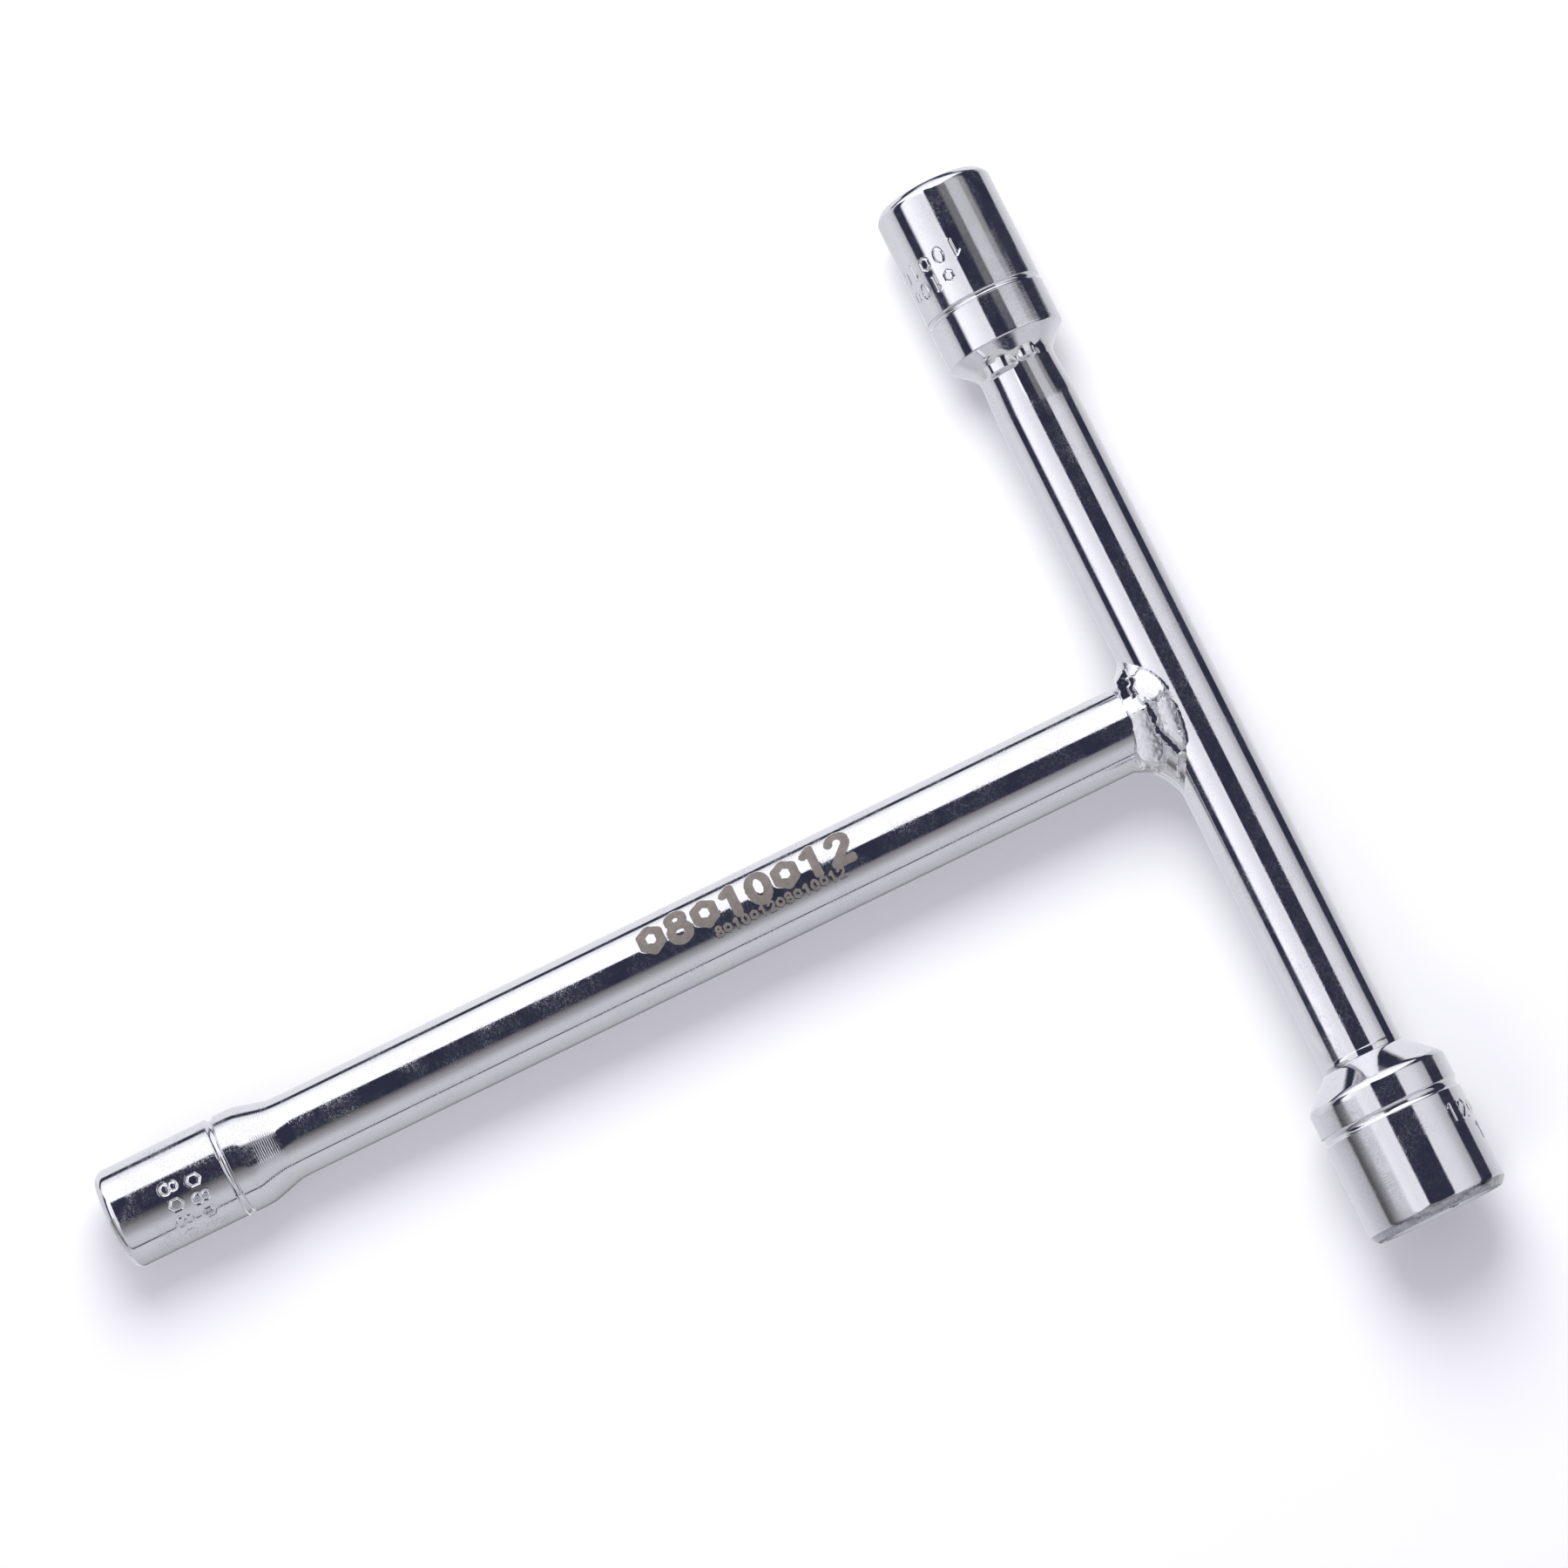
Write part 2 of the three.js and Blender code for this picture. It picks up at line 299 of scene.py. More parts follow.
def chrome(name, along, haze, lines, speckle, waviness, hatch):
    """Chrome plate with a patchy haze of fine speckles. Turning lines run around the axis along, and slanting
    grinding lines show through in patches."""
    material, tree, shader, place = node_material(name)
    patches = remap(tree, noise(tree, place, 4.5, detail=4, roughness=0.62, distortion=0.5), (0.40, 0.66))
    grains = remap(tree, noise(tree, place, 0.28, roughness=0.72), (0.44, 0.68))
    hazy = multiply(tree, patches, grains, haze)

    waves = multiply(tree, noise(tree, place, 2.2, detail=2), waviness)
    dots = remap(tree, noise(tree, place, 0.16, detail=2, roughness=0.6), (0.56, 0.74))
    dots = multiply(tree, dots, patches, speckle)

    stretch = [TURNING_STRETCH] * 3
    stretch[along] = 1.0
    stretched = add(tree, "ShaderNodeVectorMath", {0: place, 1: stretch}, operation="MULTIPLY").outputs[0]
    turning = noise(tree, stretched, 0.11, detail=2, roughness=0.8)
    zones = remap(tree, noise(tree, place, 7.0, detail=2), (0.42, 0.62), (0.15, 1))
    turning = multiply(tree, turning, zones, lines)

    slant = [0.0, 0.0, 0.0]
    slant[along], slant[1 - along] = 1.0, GRIND_SLANT
    across = add(tree, "ShaderNodeVectorMath", {0: place, 1: slant}, operation="DOT_PRODUCT").outputs["Value"]
    strayed = plus(tree, multiply(tree, across, 2 * math.pi / GRIND_SPACING),
                   multiply(tree, noise(tree, place, 1.6, detail=2), GRIND_STRAY))
    grind = math_node(tree, "POWER", math_node(tree, "ABSOLUTE", math_node(tree, "SINE", strayed)), 3)
    ground = remap(tree, noise(tree, place, 5.5, detail=2, roughness=0.5, distortion=0.3), (0.50, 0.60))
    grind = multiply(tree, grind, ground, hatch)

    set_surface(tree, shader, mix_colour(tree, hazy, (0.80, 0.80, 0.83), (0.60, 0.60, 0.64)),
                remap(tree, hazy, (0, 1), (0.04, 0.32)), plus(tree, waves, dots, turning, grind), 0.014 * MM)
    tree.links.new(remap(tree, hazy, (0, 1), (1.0, 0.86)), shader.inputs["Metallic"])
    return material


def painted_shade_mouth():
    """Painted shade: the mouth's face and rim get a dark grey base colour that stands in for the dark
    surroundings they mirror, mottled by noise.
    """
    material, tree, shader, place = node_material("painted_shade_mouth")
    mottle = remap(tree, noise(tree, place, 0.9, detail=4, roughness=0.65, distortion=0.6), (0.38, 0.64))
    set_surface(tree, shader, mix_colour(tree, mottle, (0.34, 0.34, 0.37), (0.56, 0.56, 0.59)),
                remap(tree, mottle, (0, 1), (0.12, 0.28)), noise(tree, place, 0.5), 0.02 * MM)
    shader.inputs["Metallic"].default_value = 1.0
    return material


SATIN = "satin"  # the saddle weld's vertex attribute: 0 mirror bright, 1 satin


def weld_chrome():
    """Plated weld metal: mirror bright where the mesh's satin value is 0, and looks brushed where it is 1."""
    material, tree, shader, place = node_material("chrome_weld")
    satin = add(tree, "ShaderNodeAttribute", attribute_name=SATIN).outputs["Fac"]
    grains = remap(tree, noise(tree, place, 0.3, roughness=0.7), (0.4, 0.7))
    cloudy = multiply(tree, noise(tree, place, 1.4), satin)
    colour = mix_colour(tree, multiply(tree, grains, 0.5), (0.82, 0.82, 0.84), (0.66, 0.66, 0.69))
    roughness = plus(tree, remap(tree, satin, (0, 1), (0.06, 0.30)), multiply(tree, cloudy, 0.16))
    height = plus(tree, multiply(tree, noise(tree, place, 0.9), 0.3),
                  multiply(tree, noise(tree, place, 0.22, roughness=0.7), 0.35))
    set_surface(tree, shader, colour, roughness, height, 0.006 * MM)
    tree.links.new(remap(tree, multiply(tree, satin, grains), (0, 1), (1.0, 0.8)), shader.inputs["Metallic"])
    return material


def etched_metal():
    """The matt, brownish grey of a laser mark."""
    material, tree, shader, place = node_material("etched_mark")
    grain = noise(tree, place, 0.12, roughness=0.7)
    clouds = noise(tree, place, 0.9, roughness=0.6)
    mixed = remap(tree, multiply(tree, plus(tree, grain, clouds), 0.5), (0.35, 0.65))
    set_surface(tree, shader, mix_colour(tree, mixed, (0.136, 0.122, 0.112), (0.208, 0.187, 0.173)),
                remap(tree, grain, (0.3, 0.7), (0.55, 0.75)), grain, 0.02 * MM, strength=0.5)
    shader.inputs["Specular IOR Level"].default_value = 0.25
    return material


BAR_CHROME_X = chrome("chrome_cross_bar", 0, haze=0.45, lines=0.10, speckle=0.22, waviness=0.2, hatch=0.03)
BAR_CHROME_Y = chrome("chrome_leg_bar", 1, haze=0.6, lines=0.06, speckle=0.34, waviness=0.2, hatch=0.0)
SOCKET_CHROME_X = chrome(
    "chrome_socket_cross", 0, haze=0.5, lines=0.2, speckle=0.16, waviness=0.35, hatch=0.05)
SOCKET_CHROME_Y = chrome(
    "chrome_socket_leg", 1, haze=1.0, lines=0.3, speckle=0.3, waviness=0.35, hatch=0.06)
# Painted shade for the 12 mm socket's mouth face and rim.
MOUTH_SHADE_MATERIAL = painted_shade_mouth()
WELD_CHROME = weld_chrome()
ETCHED = etched_metal()

# ------------------------------------------------------------------ sockets

SPIGOT_RADIUS = 3.5 * MM
SPIGOT_LENGTH = 5 * MM
BORE_RADIUS = SPIGOT_RADIUS + 0.05 * MM
BORE_DEPTH = SPIGOT_LENGTH + 0.5 * MM
WELD_ROOT = BAR_RADIUS - 0.5 * MM  # radius that the ring welds' grooves are cut down to
HALF_WELD = {12: 0.4 * MM, 10: 0.5 * MM, 8: 0.5 * MM}  # half the width of each socket's ring weld groove
HEX_CLEARANCE = 0.1  # mm, by which the hexagon is wider than its nut
PILOT_UNDERSIZE = 0.2  # mm, by which the round hole behind it is narrower than the nut
LEAD_IN_WIDTH = 0.3 * MM  # of the chamfer at the mouth, beyond the hexagon's corners
LEAD_IN_SLOPE = math.tan(math.radians(30))
FACE_EDGE = 0.06 * MM  # softened edge between the lead-in and the mouth's face
BARREL_START = 1 * MM  # from the outer chamfer to where the barrel is plain
MARK_REACH = 1.6 * MM  # along the socket, on both sides of a line of marks
FINE_STEP = 0.08 * MM  # between rings where marks are stamped
COARSE_STEP = 0.6 * MM


def hexagon_radius(flats, turn_degrees):
    """Distance from the axis to a hexagon's wall at each side of a turned ring, flats level at turn 0."""
    from_flat = (TURN - math.radians(turn_degrees) + math.pi / 6) % (math.pi / 3) - math.pi / 6
    return flats / 2 / np.cos(from_flat)


def inside_rings(size, hexagon, lead_in, hex_depth, pilot_depth):
    """A socket's inside, from the bottom of its pilot hole out to its face."""
    pilot = (size - PILOT_UNDERSIZE) * MM / 2
    lead_depth = (lead_in - pilot) * LEAD_IN_SLOPE
    rings = [(pilot_depth, 0), (pilot_depth, pilot - 0.3 * MM), (pilot_depth - 0.15 * MM, pilot)]
    rings += [(hex_depth + 0.3 * MM, pilot), (hex_depth, hexagon)]
    rings += [(a, hexagon) for a in straight(hex_depth, lead_depth, 1.2 * MM)[1:]]
    for a in straight(lead_depth, FACE_EDGE, 0.1 * MM)[1:]:
        rings.append((a, np.maximum(hexagon, lead_in - a / LEAD_IN_SLOPE)))
    return rings + [(0, lead_in + FACE_EDGE)]


def barrel_rings(s, marks):
    """The barrel from its outer chamfer to its groove, with its stamped marks."""
    marks_low = min(mark["along"] for mark in marks) * MM - MARK_REACH
    marks_high = max(mark["along"] for mark in marks) * MM + MARK_REACH
    alongs = np.concatenate([
        straight(s["chamfer"] + BARREL_START, marks_low, COARSE_STEP)[1:],
        straight(marks_low, marks_high, FINE_STEP)[1:],
        straight(marks_high, s["groove_start"] - 0.12 * MM, COARSE_STEP)[1:],
    ])
    rings = []
    for a in alongs:
        relief = 0
        for mark in marks:
            offset = a - mark["along"] * MM
            if abs(offset) < MARK_REACH:
                around = angle_from(TURN, mark["centre"]) * s["radius"]
                relief = relief + stamp_relief(
                    stroke_distance(around, offset, mark["text"], mark["height"] * MM, mark["pitch"] * MM))
        rings.append((a, s["radius"] + relief))
    return rings


def groove_rings(s):
    """The groove round the barrel, with softened shoulders."""
    return [(s["groove_start"] + s["groove_width"] * t,
             s["radius"] - s["groove_depth"] * math.sin(math.pi * t) ** 0.75) for t in np.linspace(0, 1, 25)]


def cone_rings(s):
    """Collar, eased corner and straight cone down to the bar."""
    corner_start = s["collar_end"] - s["corner"]
    rings = [(a, s["radius"]) for a in straight(s["groove_end"], corner_start, 0.8 * MM)[1:-1]]
    return rings + eased([(corner_start, s["radius"]), (s["collar_end"], s["radius"]),
                          (s["cone_end"], BAR_RADIUS)], s["corner"])


def soft_floor(value, least, soft):
    """The value, kept above least by a rounded corner of about the size soft."""
    return least + soft * math.log1p(math.exp((value - least) / soft))


def taper_rings(s):
    """Collar and a long gentle taper, with the fine ridges that turning left on it."""
    start, end, radius = s["collar_end"], s["cone_end"], s["radius"]
    slope = (radius - BAR_RADIUS) / (end - start)
    soft = 0.12 * MM
    rings = []
    for a in straight(s["groove_end"], end, 0.04 * MM)[1:]:
        line = radius - slope * (a - start)
        top = radius - soft * math.log1p(math.exp((radius - line) / soft))
        settled = soft_floor(top + 0.3 * soft, BAR_RADIUS, soft) - 0.3 * soft
        ridges = 0.004 * MM * math.sin(2 * math.pi * a / (0.26 * MM)) * float(smooth((a - start) / (1 * MM)))
        rings.append((a, min(radius, max(settled, BAR_RADIUS) + ridges)))
    return rings


def socket(size, mouth, inwards, material, tail, sizes, marks, hex_turn=0, painted_shade_rim=False):
    """A socket from its mouth inwards. sizes are in millimetres from the mouth, tail makes the rings from the
    groove down to the bar, and the mouth's face and rim can take a darker material of their own, painted
    shade."""
    low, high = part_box(f"socket_{size}mm")
    s = {key: value * MM for key, value in sizes.items()}
    s["radius"] = (high.z - low.z) / 2
    s["groove_end"] = s["groove_start"] + s["groove_width"]
    length = abs((high - low).dot(inwards))
    s["cone_end"] = length - HALF_WELD[size]
    hexagon = hexagon_radius((size + HEX_CLEARANCE) * MM, hex_turn)
    lead_in = hexagon.max() + LEAD_IN_WIDTH

    rings = inside_rings(size, hexagon, lead_in, s["hex_depth"], s["pilot_depth"])
    rings += eased([(0, lead_in + 0.1 * MM), (0, s["radius"] - s["rim"]), (s["chamfer"], s["radius"]),
                    (s["chamfer"] + BARREL_START, s["radius"])], 0.6 * s["rim"])
    rings += barrel_rings(s, marks) + groove_rings(s) + tail(s)
    rings += [(length, WELD_ROOT), (length, BORE_RADIUS + 0.1 * MM), (length - 0.1 * MM, BORE_RADIUS)]
    rings += [(length - BORE_DEPTH, BORE_RADIUS), (length - BORE_DEPTH, 0)]
    piece = turned(f"socket_{size}mm_body", rings, mouth, inwards, [material, MOUTH_SHADE_MATERIAL])
    # Painted shade: the faces of the mouth's face, rim and chamfer take the darker mouth material.
    if painted_shade_rim:
        for face in piece.data.polygons:
            from_mouth = (face.center - mouth).dot(inwards)
            from_axis = (face.center - mouth - inwards * from_mouth).length
            if from_mouth < s["chamfer"] and from_axis > lead_in:
                face.material_index = 1
    stand_in(piece, f"socket_{size}mm")


socket(
    12, Vector((high_12.x, JUNCTION.y, JUNCTION.z)), -X_AXIS, SOCKET_CHROME_X, cone_rings,
    dict(hex_depth=10, pilot_depth=12.8, rim=0.75, chamfer=1.0, groove_start=12.3, groove_width=1.2,
         groove_depth=0.3, collar_end=16.75, corner=0.8),
    [dict(text="12*12", along=9.6, height=2.1, pitch=2.2, centre=72),
     dict(text="12*", along=6.7, height=2.0, pitch=2.2, centre=84)],
    # The 12 mm socket's mouth and rim get the painted shade.
    hex_turn=10, painted_shade_rim=True,
)
socket(
    10, Vector((low_10.x, JUNCTION.y, JUNCTION.z)), X_AXIS, SOCKET_CHROME_X, cone_rings,
    dict(hex_depth=12, pilot_depth=15, rim=0.8, chamfer=0.9, groove_start=14.6, groove_width=0.9,
         groove_depth=0.3, collar_end=20.75, corner=0.2),
    [dict(text="10*10", along=8.8, height=2.0, pitch=2.15, centre=40),
     dict(text="*10*", along=11.5, height=1.8, pitch=2.0, centre=46)],
)
socket(
    8, Vector((JUNCTION.x, low_8.y, JUNCTION.z)), Y_AXIS, SOCKET_CHROME_Y, taper_rings,
    dict(hex_depth=12, pilot_depth=14.5, rim=0.7, chamfer=0.8, groove_start=14.5, groove_width=1.0,
         groove_depth=0.35, collar_end=17.9),
    [dict(text="*8*8", along=11.0, height=2.1, pitch=2.2, centre=34),
     dict(text="8*8*", along=8.0, height=2.1, pitch=2.2, centre=30)],
)

# ------------------------------------------------------------------ bars

NECK_DEPTH = 0.25 * MM  # how much thinner the cross bar is ground beside the 10 mm socket
NECK_LENGTH = 6 * MM
BAR_STEP = 2 * MM


def end_rings(shoulder, direction, half_weld, neck=0.0):
    """A bar's end from the bar outwards: the side of the weld's groove, the shoulder and the spigot."""
    tip = shoulder + direction * SPIGOT_LENGTH
    return [
        (shoulder - direction * half_weld, BAR_RADIUS - neck),
        (shoulder, WELD_ROOT),
        (shoulder, SPIGOT_RADIUS),
        (tip, SPIGOT_RADIUS),
        (tip, 0),
    ]


def neck_radius(along):
    """The cross bar's radius at a distance from the 10 mm socket."""
    return BAR_RADIUS - NECK_DEPTH * (1 - float(smooth(along / NECK_LENGTH)))


def cross_bar():
    start, end = high_10.x - JUNCTION.x, low_12.x - JUNCTION.x
    neck_end = start + NECK_LENGTH
    rings = end_rings(start, -1, HALF_WELD[10], neck=NECK_DEPTH)[::-1]
    rings += [(a, neck_radius(a - start)) for a in straight(start + 0.6 * MM, neck_end, 0.3 * MM)]
    rings += [(a, BAR_RADIUS) for a in straight(neck_end, end - HALF_WELD[12], BAR_STEP)[1:-1]]
    rings += end_rings(end, 1, HALF_WELD[12])
    piece = turned("cross_bar_body", rings, JUNCTION, X_AXIS, [BAR_CHROME_X], sides=360)
    stand_in(piece, "cross_bar")


ETCH_CENTRE = 56 * MM  # from the cross bar's axis
ETCH_HALF_LENGTH = 15 * MM
ETCH_TURN = -22  # degrees from the top of the leg
ETCH_DEPTH = 0.012 * MM
ETCH_LINES = [
    dict(text="*8*10*12", height=3.5 * MM, pitch=3.45 * MM, along=0.2 * MM, across=-0.2 * MM,
         half_width=0.56 * MM),
    dict(text="8*10*12*8*10*12", height=1.15 * MM, pitch=1.12 * MM, along=3.5 * MM, across=-3.0 * MM,
         half_width=0.17 * MM),
]
TOP_CHAMFER = 0.3 * MM


def etched_at(along, around):
    """Which points of the leg are etched, from their distance along it and their angle from ETCH_TURN."""
    etched = False
    for line in ETCH_LINES:
        distance = stroke_distance(along + ETCH_CENTRE - line["along"], -around * BAR_RADIUS - line["across"],
                                   line["text"], line["height"], line["pitch"])
        etched = etched | (distance < line["half_width"])
    return etched


def leg_bar():
    """The leg, whose upper end is hidden in the weld. Its etched marks are faces of their own material."""
    end, top = high_8.y - JUNCTION.y, leg_high.y - JUNCTION.y
    etch_low, etch_high = -ETCH_CENTRE - ETCH_HALF_LENGTH, -ETCH_CENTRE + ETCH_HALF_LENGTH
    alongs = np.concatenate([
        straight(end + HALF_WELD[8], etch_low, BAR_STEP),
        straight(etch_low, etch_high, 0.1 * MM)[1:],
        straight(etch_high, top - TOP_CHAMFER, BAR_STEP)[1:],
    ])
    around = angle_from(TURN, ETCH_TURN)
    rings = end_rings(end, -1, HALF_WELD[8])[::-1][:-1]
    for a in alongs:
        marked = abs(a + ETCH_CENTRE) < ETCH_HALF_LENGTH
        rings.append((a, BAR_RADIUS - ETCH_DEPTH * etched_at(a, around) if marked else BAR_RADIUS))
    rings += [(top, BAR_RADIUS - TOP_CHAMFER), (top, 0)]
    piece = turned("leg_bar_body", rings, JUNCTION, Y_AXIS, [BAR_CHROME_Y, ETCHED])

    polygons = piece.data.polygons
    centres = np.zeros(len(polygons) * 3)
    polygons.foreach_get("center", centres)
    x, y, z = (centres.reshape(-1, 3) - np.array(JUNCTION)).T
    etched = etched_at(y, angle_from(np.arctan2(x, z), ETCH_TURN)) & (np.hypot(x, z) > 0.9 * BAR_RADIUS)
    polygons.foreach_set("material_index", etched.astype(np.int32))
    stand_in(piece, "leg_bar")


cross_bar()
leg_bar()

# ------------------------------------------------------------------ ring welds


def ring_weld(size, origin, axis, profile):
    """A bead around a bar. profile lists (distance along, radius) in order round its closed section."""
    spokes = spokes_around(axis, TURN)
    rings = [np.array(origin) + np.outer(along + 0 * TURN, axis) + spokes * (radius + 0 * TURN)[:, None]
             for along, radius in profile(TURN)]
    faces = []
    for k in range(len(rings)):
        faces += ring_faces(k * SIDES, ((k + 1) % len(rings)) * SIDES, SIDES, flip=True)
    piece = new_object(f"socket_{size}mm_bead", np.vstack(rings), faces, [WELD_CHROME])
    stand_in(piece, f"socket_{size}mm_ring_weld")


def wander(turn, seed, waves=6):
    """A smooth random value from -1 to 1 for each angle, the same at both ends of the turn."""
    random = np.random.default_rng(seed)
    total = 0
    for k in range(1, waves + 1):
        total = total + random.normal() * np.cos(k * turn + random.uniform(0, 2 * math.pi)) / k**0.6
    return total / np.abs(total).max()


def lobe(turn, centre_degrees, half_width_degrees):
    """1 around an angle, falling to 0 on both sides of it."""
    away = (np.degrees(turn) - centre_degrees + 180) % 360 - 180
    return np.exp(-((away / half_width_degrees) ** 4))


def plateau(along, middle, half_length, fall):
    """1 over a stretch of the axis, falling to 0 at both ends."""
    return 1 - float(smooth((abs(along - middle) - half_length) / fall))


def at_edges(t, width):
    """1 at both ends of a profile and 0 over the rest of it."""
    return 1 - float(smooth(min(t, 1 - t) / width))


def ring12_profile(turn):
    """A narrow proud ring right against the cone."""
    half_width = HALF_WELD[12]
    proud = (0.05 + 0.02 * wander(turn, 3, 12)) * MM
    rows = [(0, WELD_ROOT)]
    for t in np.linspace(0, 1, 13):
        rows.append((half_width * (1 - 2 * t), BAR_RADIUS + proud * math.sin(math.pi * t) ** 0.5))
    return rows


def ring10_profile(turn):
    """A bead that fills the corner between the cone and the bar, with two flat lumps on top."""
    left, right = lobe(turn, 26, 21), lobe(turn, -17, 13)
    start, end = -2.5 * MM, 1.5 * MM
    cone_slope, soft = 1.07, 0.3 * MM
    uneven = 0.01 * MM * wander(turn, 8) - 0.02 * MM
    rows = [(0, WELD_ROOT)]
    for t in np.linspace(0, 1, 81):
        along = start + (end - start) * t
        bar = neck_radius(along)
        corner = soft_floor(BAR_RADIUS - cone_slope * (along + HALF_WELD[10]), bar, soft) - bar
        large = 0.95 * MM * left * plateau(along, -0.5 * MM, 0.95 * MM, 0.55 * MM)
        small = 0.65 * MM * right * plateau(along, -0.3 * MM, 0.5 * MM, 0.55 * MM)
        height = (corner**4 + large**4 + small**4) ** 0.25
        rows.append((along, bar + height + uneven - 0.12 * MM * at_edges(t, 0.08)))
    return rows


def ring8_profile(turn):
    """Ground nearly flush with the bar, and blended into the taper."""
    start, end = -0.9 * MM, 1.5 * MM
    uneven = 0.01 * MM * wander(turn, 41, 5)
    rows = [(0, WELD_ROOT)]
    for t in np.linspace(0, 1, 33):
        proud = 0.10 * MM * (1 - t) ** 2 - 0.02 * MM * at_edges(t, 0.12)
        rows.append((start + (end - start) * t, BAR_RADIUS + proud + uneven))
    return rows


ring_weld(12, Vector((low_12.x, JUNCTION.y, JUNCTION.z)), -X_AXIS, ring12_profile)
ring_weld(10, Vector((high_10.x, JUNCTION.y, JUNCTION.z)), X_AXIS, ring10_profile)
ring_weld(8, Vector((JUNCTION.x, high_8.y, JUNCTION.z)), Y_AXIS, ring8_profile)

# ------------------------------------------------------------------ saddle weld

# What the weld metal did on top of the joint, in mm from where the bars' axes cross: x runs along the cross
# bar towards the 12 mm socket, y away from the leg, and z up.
# Frozen slabs: middle x, y and z, half length, half width, turn in degrees, slope along x and y, bulge and
# satin value.
SLABS = [
    (2.2, -6.0, 5.15, 4.3, 1.9, -12, -0.10, 0.20, 0.25, 0.75),
    (-3.5, -5.75, 4.25, 2.9, 1.0, -8, -0.03, -0.06, 0.05, 0.0),
    (2.1, -2.75, 5.55, 3.25, 1.2, -3, -0.06, 0.24, 0.22, 0.85),
    (-3.0, -3.1, 5.30, 2.15, 1.75, 25, 0.27, 0.30, 0.10, 0.15),
]
SLAB_SQUARENESS = 2.5  # 2 would make them ellipses
SLAB_CORE, SLAB_FALL = 0.84, 0.24  # where a slab starts to fall off and over what, as shares of its size
# Open channels between them: the half width, and points on the floor.
CHANNELS = [
    (0.42, [(-1.0, -4.5, 5.0), (0.2, -4.3, 4.95), (1.4, -4.5, 4.8), (2.4, -4.6, 4.7), (3.4, -4.3, 4.6),
            (4.4, -3.9, 4.5), (5.6, -3.6, 4.35)]),
    (0.36, [(-4.4, -4.7, 4.45), (-3.3, -5.2, 4.4), (-2.0, -5.4, 4.5), (-0.8, -5.1, 4.6)]),
]
# Grooves and ridges along a path: points, half width and height.
SEAMS = [
    ([(-1.2, -2.3), (-0.8, -3.0), (-1.0, -3.6)], 0.12, -0.35),
    ([(-5.2, -3.3), (-4.2, -2.3), (-3.3, -1.8)], 0.09, -0.22),
    ([(-2.3, -1.7), (-1.4, -1.9), (-0.4, -1.7), (0.8, -1.35), (2.2, -1.35), (3.4, -1.9)], 0.09, -0.16),
    ([(6.0, -3.3), (7.2, -4.4), (8.6, -5.0)], 0.16, 0.25),
]
CHANNEL_CORE, CHANNEL_FALL = 0.6, 0.7  # the same for a channel
PLAIN_SATIN, CHANNEL_SATIN = 0.35, 0.12
JAGGEDNESS = 0.10  # of the outlines of slabs, channels and seams
PUDDLE_RIPPLE, TOE_ROUGHNESS, SWELL = 0.009, 0.016, 0.012
ROPE_COUNT, ROPE_HEIGHT = 40, 0.05  # ripples around the joint, along the sides and underside
SPATTER_COUNT = 7

SADDLE_STATIONS = 1080  # around the joint
SADDLE_STEPS = 170  # from the toe on the leg to the toe on the cross bar
TOE_SINK = 0.12  # how deep both toes lie below the bars' surfaces
LEG_REACH, BAR_REACH = 7.1, 7.8  # of the toes, from the cross bar's axis and from the leg's
BAR_WRAP = 75  # degrees from the leg's side of the cross bar to the toe on top of it
CROWN_SIDE, CROWN_TOP, CROWN_REACH = 0.75, 1.2, 3.9  # what bows the weld out between its toes
CORE_PLACE, CORE_RADIUS = (0, -3.0, 0), 3.0  # a ring inside the bars, where the weld's body closes


def ripples(x, y, seed, shortest, longest, count=24):
    """A smooth random field from about -1 to 1 whose waves are between two lengths."""
    random = np.random.default_rng(seed)
    total = np.zeros_like(x)
    for _ in range(count):
        wave = 2 * math.pi / random.uniform(shortest, longest)
        heading, phase = random.uniform(0, 2 * math.pi, 2)
        total += np.cos(wave * (x * math.cos(heading) + y * math.sin(heading)) + phase)
    return total / math.sqrt(count)


def channel_floor(x, y, channel):
    """Height of a channel's floor at its nearest point, and the distance to it."""
    nearest, height = np.full(np.shape(x), np.inf), np.zeros(np.shape(x))
    for start, end in zip(channel[:-1], channel[1:]):
        away, share = stretch_distance(x, y, start[:2], end[:2])
        closer = away < nearest
        nearest = np.where(closer, away, nearest)
        height = np.where(closer, start[2] + share * (end[2] - start[2]), height)
    return height, nearest


def pooled_metal(x, y, z, inside):
    """The height and the satin value of the weld's top. inside falls to 0 at the weld's edges."""
    satin = PLAIN_SATIN * inside
    jagged_x = x + JAGGEDNESS * ripples(x, y, 31, 0.5, 1.6)
    jagged_y = y + JAGGEDNESS * ripples(x, y, 32, 0.5, 1.6)
    for px, py, pz, half_length, half_width, degrees, slope_x, slope_y, bulge, dull in SLABS:
        c, s = math.cos(math.radians(degrees)), math.sin(math.radians(degrees))
        u = ((jagged_x - px) * c + (jagged_y - py) * s) / half_length
        v = (-(jagged_x - px) * s + (jagged_y - py) * c) / half_width
        out = (np.abs(u) ** SLAB_SQUARENESS + np.abs(v) ** SLAB_SQUARENESS) ** (1 / SLAB_SQUARENESS)
        mask = inside * (1 - smooth((out - SLAB_CORE) / SLAB_FALL))
        level = pz + slope_x * (x - px) + slope_y * (y - py) - bulge * np.minimum(out, 1.2) ** 2
        z = z + mask * (level - z)
        satin = satin + mask * (dull - satin)
    for half_width, points in CHANNELS:
        floor_z, away = channel_floor(jagged_x, jagged_y, points)
        mask = inside * (1 - smooth((away - CHANNEL_CORE * half_width) / (CHANNEL_FALL * half_width)))
        z = z + mask * (floor_z - z)
        satin = satin + mask * (CHANNEL_SATIN - satin)
    z = z + inside * (1 - satin) ** 2 * PUDDLE_RIPPLE * ripples(x, y, 36, 0.35, 1.3)
    for points, half_width, height in SEAMS:
        away = path_distance(jagged_x, jagged_y, points)
        z = z + inside * height * np.exp(-((away / half_width) ** 2))
    return z, satin


